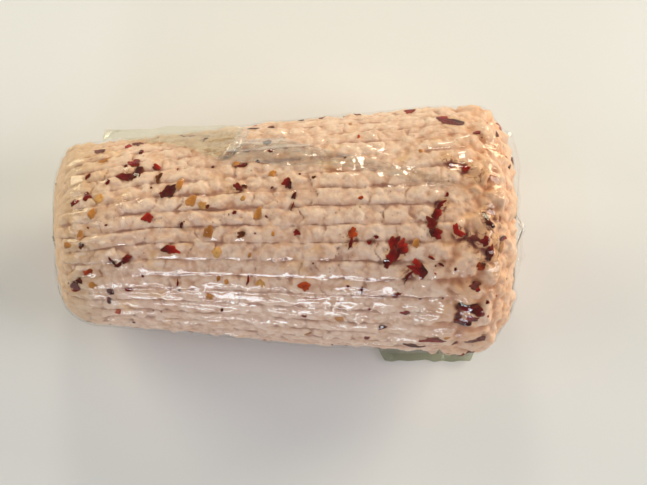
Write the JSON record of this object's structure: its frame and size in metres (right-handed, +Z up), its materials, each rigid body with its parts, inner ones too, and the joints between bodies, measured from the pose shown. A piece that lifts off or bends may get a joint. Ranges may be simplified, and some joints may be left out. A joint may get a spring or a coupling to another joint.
{
  "type": "ricotta",
  "caption": "Tapered ribbed loaf of pressed ricotta with dried chilli skins and seeds in its face, sealed in tight clear film and lying on its side.",
  "frame": {"origin": "under the middle of the loaf's box, on the plane that it rests on", "axes": "+X from the small end to the wide end, +Z up, so the side in the picture faces up and towards -Y"},
  "size_m": [0.168, 0.0916, 0.0898],
  "materials": {
    "cheese": "moist creamy pink curd, grainy, browner in the grooves",
    "chilli": "oily dried chilli skin, from dark maroon to bright red",
    "seed": "ochre chilli seed",
    "film": "thin clear glossy film, finely wrinkled"
  },
  "bodies": {
    "root": {"ricotta": "cheese"}
  },
  "joints": []
}
